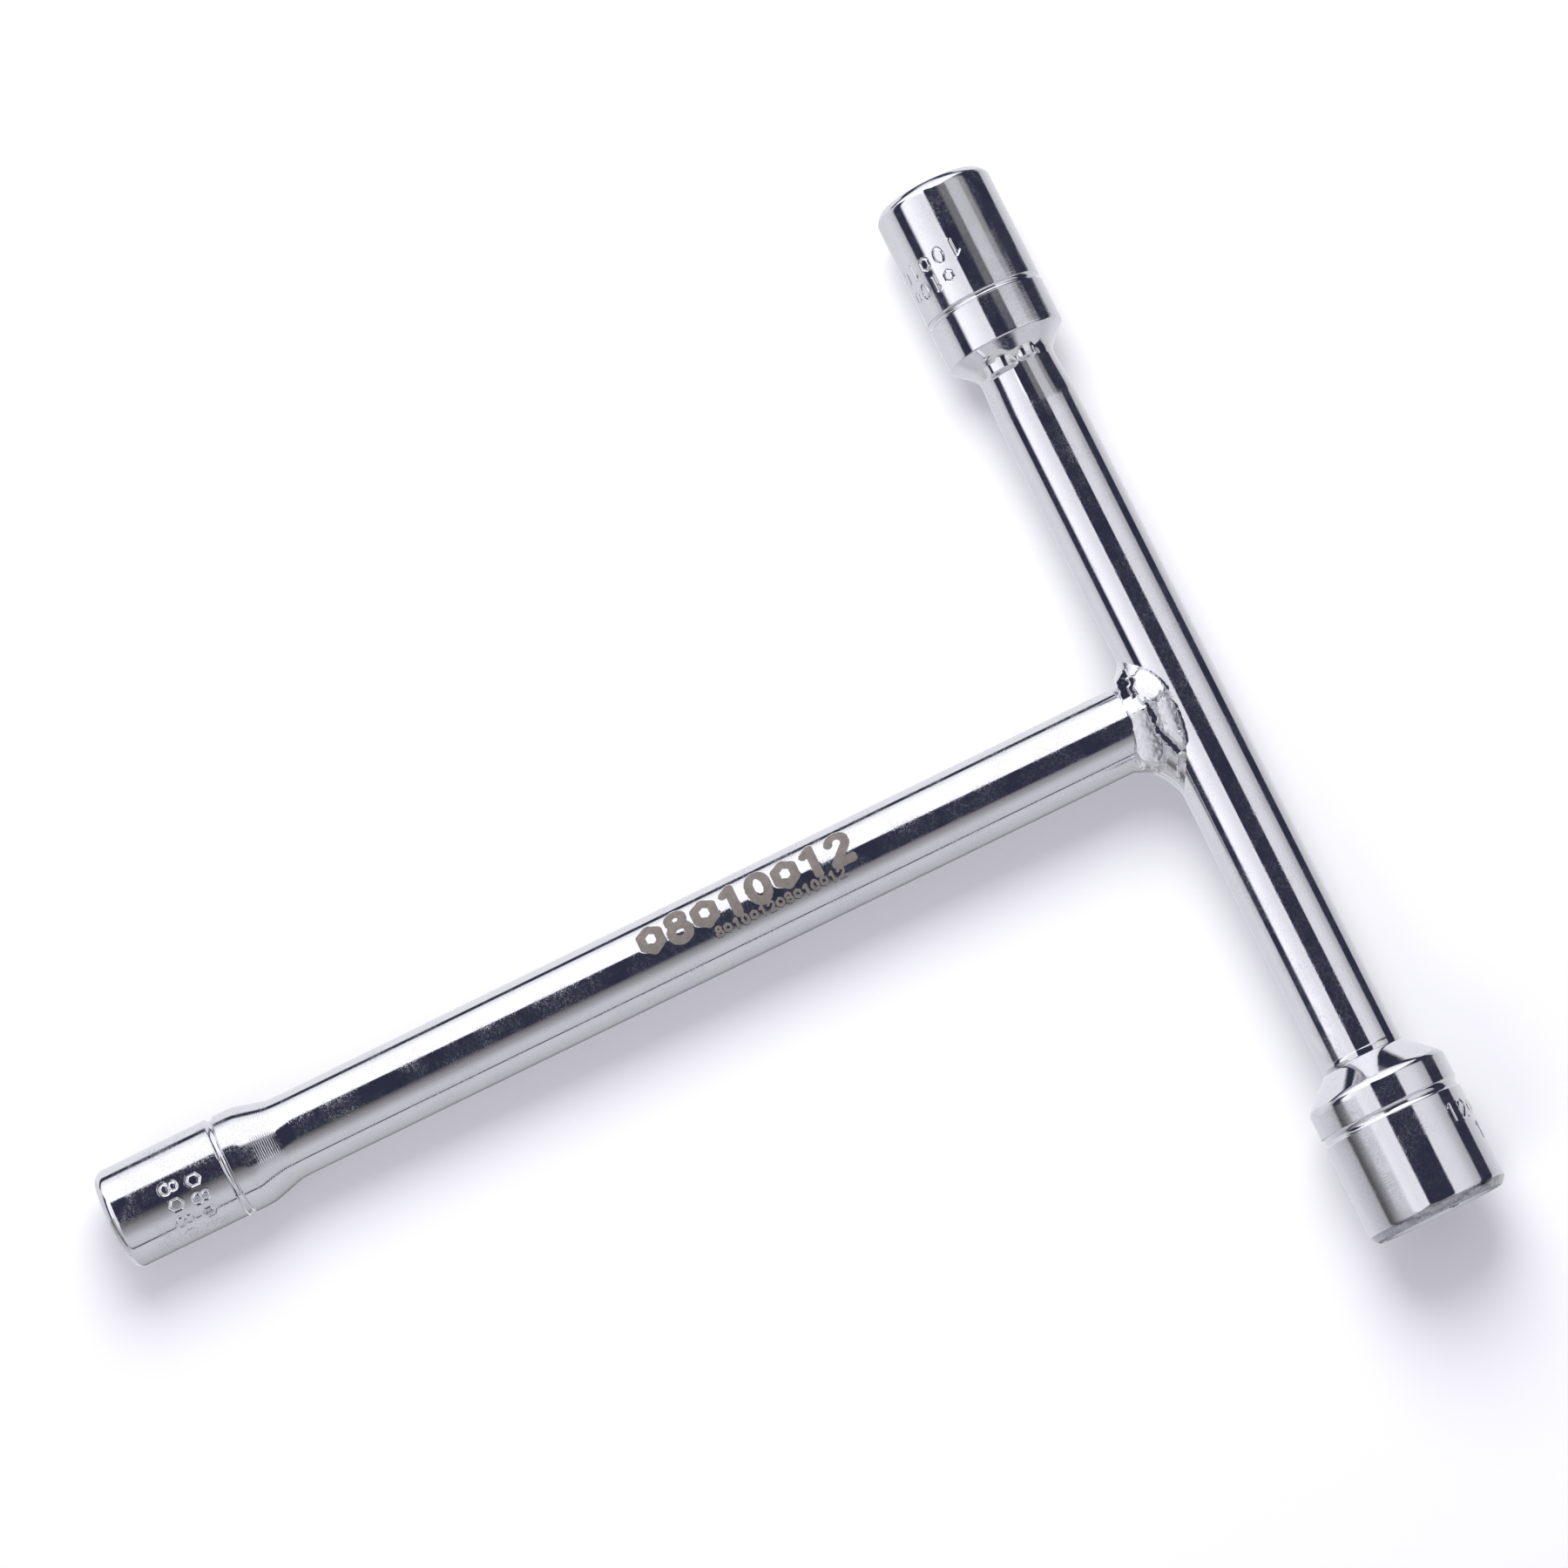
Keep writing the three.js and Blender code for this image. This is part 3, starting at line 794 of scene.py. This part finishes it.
def saddle_surface(phi, t):
    """The weld before any detail, in mm: from the toe on the leg (t = 0) over a crown to the toe on the cross
    bar (t = 1), at every angle phi around the leg. It is wider on the side of the 12 mm socket."""
    side, rise = np.cos(phi), np.sin(phi)
    wider = smooth((side + 0.3) / 0.6)
    radius = BAR_RADIUS / MM
    toe_radius = radius - TOE_SINK
    leg_reach = LEG_REACH + (0.6 + 1.8 * wider) * side**2 + 0.22 * wander(phi, 21, 14)
    leg_toe = np.stack([toe_radius * side, -leg_reach, toe_radius * rise], -1)
    bar_reach = BAR_REACH + 2.7 * wider
    wrap = math.radians(BAR_WRAP) * np.sign(rise) * np.abs(rise) ** 1.2 + 0.035 * wander(phi, 22, 20)
    bar_toe = np.stack([bar_reach * side, -toe_radius * np.cos(wrap), toe_radius * np.sin(wrap)], -1)
    crown_side = radius + CROWN_SIDE
    crown_reach = CROWN_REACH * (1 - side**2) + crown_side * side**2
    crown = np.stack([crown_side * side, -crown_reach, (radius + CROWN_TOP) * rise], -1)
    t = t[..., None]
    return leg_toe * (1 - t) ** 2 + crown * (2 * t * (1 - t)) + bar_toe * t**2


def outward_normals(points):
    """Unit vectors square to the weld's surface, pointing away from its core."""
    along_phi = np.roll(points, -1, 0) - np.roll(points, 1, 0)
    normal = np.cross(np.gradient(points, axis=1), along_phi)
    normal /= np.linalg.norm(normal, axis=-1, keepdims=True)
    return normal * np.sign(np.sum(normal * (points - np.array(CORE_PLACE)), -1).mean())


def spatter(points):
    """Height of the half-round drops of metal on the weld's upper side, near its toe on the cross bar."""
    random = np.random.default_rng(35)
    height = np.zeros(points.shape[:2])
    for _ in range(SPATTER_COUNT):
        phi = random.uniform(0.1, 0.9) * math.pi
        t = random.uniform(0.8, 0.97)
        size = random.uniform(0.12, 0.22)
        middle = points[int(phi / (2 * math.pi) * SADDLE_STATIONS), int(t * SADDLE_STEPS)]
        gap = np.linalg.norm(points - middle, axis=-1) / size
        height = np.maximum(height, 0.7 * size * np.sqrt(np.clip(1 - gap**2, 0, None)))
    return height


def saddle_weld():
    """The weld of leg and cross bar: pooled metal on top, and a ropy bead along its sides and underside."""
    phi = np.linspace(0, 2 * math.pi, SADDLE_STATIONS, endpoint=False)[:, None]
    t = np.linspace(0, 1, SADDLE_STEPS)[None, :]
    points = saddle_surface(phi, t)
    x, y = points[..., 0], points[..., 1]
    from_edge = np.minimum(t, 1 - t)
    upper = smooth((np.sin(phi) - 0.12) / 0.35)
    points[..., 2], satin = pooled_metal(x, y, points[..., 2], upper * smooth(from_edge / 0.06))
    z = points[..., 2]

    ropes = np.sin(phi * ROPE_COUNT + 3 * t + 0.8 * wander(phi, 23, 9)) * np.sin(math.pi * t)
    ropy = (1 - upper) * ropes * ROPE_HEIGHT
    toes = np.exp(-((from_edge / 0.07) ** 2)) * smooth(from_edge / 0.02)
    rough = ripples(x + 0.3 * z, y, 33, 0.3, 0.9) * TOE_ROUGHNESS * toes
    swell = ripples(x, y + z, 34, 2.0, 4.0) * SWELL * smooth(from_edge / 0.1)
    points = points + outward_normals(points) * (ropy + rough + swell + spatter(points))[..., None]

    spokes = np.stack([np.cos(phi), 0 * phi, np.sin(phi)], -1)
    points = np.concatenate([points, np.array(CORE_PLACE) + CORE_RADIUS * spokes], 1)
    vertices = np.array(JUNCTION) + points.reshape(-1, 3) * MM
    steps = SADDLE_STEPS + 1
    faces = []
    for i in range(SADDLE_STATIONS):
        i2 = (i + 1) % SADDLE_STATIONS
        for j in range(steps):
            j2 = (j + 1) % steps
            faces.append([i * steps + j, i * steps + j2, i2 * steps + j2, i2 * steps + j])
    piece = new_object("tee_weld_bead", vertices, faces, [WELD_CHROME], 60)
    dull = piece.data.attributes.new(SATIN, "FLOAT", "POINT")
    dull.data.foreach_set("value", np.concatenate([satin, 0 * phi], 1).ravel())
    stand_in(piece, "tee_saddle_weld")


saddle_weld()

# ------------------------------------------------------------------ floor

FLOOR_SIZE = 6.0
FLOOR_GAP = 0.02 * MM  # what keeps it clear of the sockets


def underside(low, high):
    return Vector(((low.x + high.x) / 2, (low.y + high.y) / 2, low.z))


def floor():
    """A pale floor that touches the underside of all three sockets, whose diameters differ."""
    a, b, c = underside(low_12, high_12), underside(low_10, high_10), underside(low_8, high_8)
    normal = (b - a).cross(c - a).normalized()
    if normal.z < 0:
        normal.negate()
    half = FLOOR_SIZE / 2
    mesh = bpy.data.meshes.new("floor")
    corners = [(-half, -half, 0), (half, -half, 0), (half, half, 0), (-half, half, 0)]
    mesh.from_pydata(corners, [], [(0, 1, 2, 3)])
    plane = bpy.data.objects.new("floor", mesh)
    bpy.context.scene.collection.objects.link(plane)
    plane.rotation_mode = "QUATERNION"
    plane.rotation_quaternion = UP.rotation_difference(normal)
    plane.location = a - normal * FLOOR_GAP
    material, tree, shader, place = node_material("floor_paint")
    tone = remap(tree, noise(tree, place, 90, detail=2), (0.3, 0.7))
    paint = mix_colour(tree, tone, (0.90, 0.90, 0.925), (0.915, 0.915, 0.935))
    tree.links.new(paint, shader.inputs["Base Color"])
    shader.inputs["Roughness"].default_value = 0.9
    shader.inputs["Specular IOR Level"].default_value = 0.1
    mesh.materials.append(material)
    plane.visible_glossy = False


floor()

# ------------------------------------------------------------------ studio


def grey(level):
    """A slightly violet grey."""
    return (level * 0.99, level * 0.985, level * 1.04)


WHITE = 1.3
DARK = (0.032, 0.035, 0.062)  # what shows through the tent's openings
AMBIENT = (0.525, 0.515, 0.575)  # the even light on the floor
ROOM = (0.93, 0.93, 0.955)  # what the camera sees beyond the floor

# The walls of the light tent, named by the side they stand on: (elevation in degrees, colour), lowest first.
MINUS_Y_WALL = [
    (-90, grey(0.76)), (-50, grey(0.78)), (-20, grey(0.82)), (-8, grey(0.74)), (2, grey(0.6)), (5, DARK),
    (21, DARK), (27, grey(1.2)), (36, grey(1.2)), (50, grey(1.06)), (64, grey(0.93)), (80, grey(0.95)),
]
PLUS_Y_WALL = [
    (-90, grey(0.85)), (-50, grey(0.79)), (-33, grey(0.68)), (-20, grey(0.58)), (-17, DARK), (7.5, DARK),
    (10.5, grey(0.46)), (21, grey(0.6)), (30, grey(0.76)), (44, grey(0.86)), (80, grey(0.86)),
]
MINUS_X_WALL = [
    (-90, grey(0.88)), (-22, grey(0.92)), (-19, DARK), (-9, DARK), (-6, grey(0.9)), (0, grey(1.05)),
    (12, grey(WHITE)), (80, grey(WHITE)),
]
PLUS_X_WALL = [
    (-90, grey(0.28)), (-66, grey(0.31)), (-54, grey(0.52)), (-24, grey(0.62)), (-6, grey(0.68)),
    (6.5, grey(0.68)), (8.3, DARK), (10.0, DARK), (11.5, grey(0.6)), (16, grey(0.63)), (29, grey(0.66)),
    (36, grey(0.62)), (42, grey(0.53)), (48, grey(0.41)), (54, grey(0.33)), (60, grey(0.25)),
    (66, grey(0.15)), (72, grey(0.08)),
]
# The walls' ends differ: the 12 mm socket mirrors a softer dark band, and the 10 mm socket a wider one.
MINUS_Y_END = [
    (-90, grey(0.76)), (-50, grey(0.78)), (-20, grey(0.6)), (-8, grey(0.5)), (-1, grey(0.42)),
    (3, grey(0.09)), (10, grey(0.14)), (18, grey(0.3)), (25, grey(0.45)), (33, grey(0.58)), (45, grey(0.66)),
    (51, grey(1.0)), (64, grey(0.93)), (80, grey(0.95)),
]
PLUS_Y_END = [
    (-90, grey(0.85)), (-50, grey(0.79)), (-33, grey(0.66)), (-26, grey(0.6)), (-23, DARK), (17, DARK),
    (20, grey(0.14)), (23, grey(0.3)), (30, grey(0.31)), (34, grey(0.56)), (44, grey(0.6)), (80, grey(0.58)),
]
MINUS_Y_JOIN, PLUS_Y_JOIN = (-0.0625, -0.0595), (-0.202, -0.199)  # where the ends begin, as a direction's x
CORNER_BLEND, SIDE_BLEND = (-0.03, 0.03), (-0.01, 0.01)
# The opening overhead, on a level plane one unit above the object: where its edges fade out and in. Its long
# edges shift along x with the part of y between the bend's ends.
OPENING_LOW_X, OPENING_HIGH_X = (-0.53, -0.49), (0.40, 0.50)
OPENING_LOW_Y, OPENING_HIGH_Y = (-0.26, -0.22), (0.54, 0.60)
OPENING_HAZE, HAZE_COLOUR = (0.20, 0.30), grey(0.2)
BEND_START, BEND_END, BEND_SLOPE = -0.16, 0.07, 1.4
HORIZON = (0.0, 0.05)
LOWEST_Z = 0.02  # keeps the division that projects onto the plane from growing without limit


def wall(tree, elevation, stops):
    """One wall of the tent. elevation runs from 0 straight down to 1 straight up."""
    node = add(tree, "ShaderNodeValToRGB", {"Fac": elevation})
    elements = node.color_ramp.elements
    while len(elements) > 1:
        elements.remove(elements[-1])
    for index, (degrees, colour) in enumerate(stops):
        position = (degrees + 90) / 180
        element = elements.new(position) if index else elements[0]
        element.position = position
        element.color = (*colour, 1)
    return node.outputs["Color"]


def studio():
    """The light tent as the chrome sees it: four walls round a dark opening overhead."""
    world = bpy.data.worlds.new("studio")
    bpy.context.scene.world = world
    world.use_nodes = True
    tree = world.node_tree
    tree.nodes.clear()
    output = tree.nodes.new("ShaderNodeOutputWorld")
    direction = add(tree, "ShaderNodeTexCoord").outputs["Generated"]
    x, y, z = add(tree, "ShaderNodeSeparateXYZ", {0: direction}).outputs
    elevation = remap(tree, math_node(tree, "ARCSINE", z), (-math.pi / 2, math.pi / 2))

    minus_y = mix_colour(tree, remap(tree, x, MINUS_Y_JOIN), wall(tree, elevation, MINUS_Y_WALL),
                         wall(tree, elevation, MINUS_Y_END))
    far_end = remap(tree, x, PLUS_Y_JOIN, (1, 0))
    plus_y = mix_colour(tree, far_end, wall(tree, elevation, PLUS_Y_WALL), wall(tree, elevation, PLUS_Y_END))

    # Which wall: the sign of x or y, whichever is larger, with softened corners.
    spread = math_node(tree, "SUBTRACT", math_node(tree, "ABSOLUTE", x), math_node(tree, "ABSOLUTE", y))
    x_side = mix_colour(tree, remap(tree, x, SIDE_BLEND), wall(tree, elevation, MINUS_X_WALL),
                        wall(tree, elevation, PLUS_X_WALL))
    y_side = mix_colour(tree, remap(tree, y, SIDE_BLEND), minus_y, plus_y)
    walls = mix_colour(tree, remap(tree, spread, CORNER_BLEND), y_side, x_side)

    above = math_node(tree, "MAXIMUM", z, LOWEST_Z)
    v = math_node(tree, "DIVIDE", y, above)
    bent = math_node(tree, "MAXIMUM", math_node(tree, "MINIMUM", v, BEND_END), BEND_START)
    u = math_node(tree, "SUBTRACT", math_node(tree, "DIVIDE", x, above), multiply(tree, bent, BEND_SLOPE))
    inside = multiply(tree, remap(tree, u, OPENING_LOW_X), remap(tree, u, OPENING_HIGH_X, (1, 0)),
                      remap(tree, v, OPENING_LOW_Y), remap(tree, v, OPENING_HIGH_Y, (1, 0)),
                      remap(tree, z, HORIZON))
    haze = multiply(tree, far_end, remap(tree, v, OPENING_HAZE))
    seen = mix_colour(tree, inside, walls, mix_colour(tree, haze, DARK, HAZE_COLOUR))

    # Only the chrome mirrors the tent. The floor is lit evenly, and beyond it the camera sees a pale room.
    path = add(tree, "ShaderNodeLightPath")
    colour = mix_colour(tree, path.outputs["Is Glossy Ray"], AMBIENT, seen)
    colour = mix_colour(tree, path.outputs["Is Camera Ray"], colour, ROOM)
    background = add(tree, "ShaderNodeBackground", {"Color": colour, "Strength": 1.0})
    tree.links.new(background.outputs[0], output.inputs[0])


LAMP_COLOUR = (1.0, 1.0, 0.98)


def soft_light(name, place, size, power):
    """A round lamp aimed at the joint. It lights the floor, and the chrome sees only the tent."""
    light = bpy.data.lights.new(name, "AREA")
    light.shape = "DISK"
    light.size = size
    light.energy = power
    light.color = LAMP_COLOUR
    lamp = bpy.data.objects.new(name, light)
    bpy.context.scene.collection.objects.link(lamp)
    lamp.location = JUNCTION + Vector(place)
    lamp.rotation_mode = "QUATERNION"
    lamp.rotation_quaternion = (-Vector(place)).to_track_quat("-Z", "Y")
    lamp.visible_camera = False
    lamp.visible_glossy = False


studio()
soft_light("key", (-0.27, 0.04, 0.35), size=0.35, power=1.9)
soft_light("fill", (0.5, -1.0, 0.9), size=0.9, power=4.0)

# ------------------------------------------------------------------ camera

CAMERA_DISTANCE = 0.661
CAMERA_AZIMUTH = 87.65
CAMERA_ELEVATION = 81.42
CAMERA_ROLL = -23.67
CAMERA_AIM = Vector((-11.87, -46.12, 0)) * MM  # from where the bars' axes cross
LENS, SENSOR_WIDTH = 130, 36
CLIP_START, CLIP_END = 0.01, 20


def camera():
    azimuth, elevation = math.radians(CAMERA_AZIMUTH), math.radians(CAMERA_ELEVATION)
    back = Vector((math.sin(azimuth) * math.cos(elevation), -math.cos(azimuth) * math.cos(elevation),
                   math.sin(elevation)))
    data = bpy.data.cameras.new("camera")
    data.lens, data.sensor_width = LENS, SENSOR_WIDTH
    data.clip_start, data.clip_end = CLIP_START, CLIP_END
    cam = bpy.data.objects.new("camera", data)
    bpy.context.scene.collection.objects.link(cam)
    cam.rotation_mode = "QUATERNION"
    level = (-back).to_track_quat("-Z", "Y")
    cam.rotation_quaternion = level @ Matrix.Rotation(math.radians(CAMERA_ROLL), 3, "Z").to_quaternion()
    cam.location = JUNCTION + CAMERA_AIM + back * CAMERA_DISTANCE
    bpy.context.scene.camera = cam


camera()
bpy.context.scene.view_settings.view_transform = "Standard"
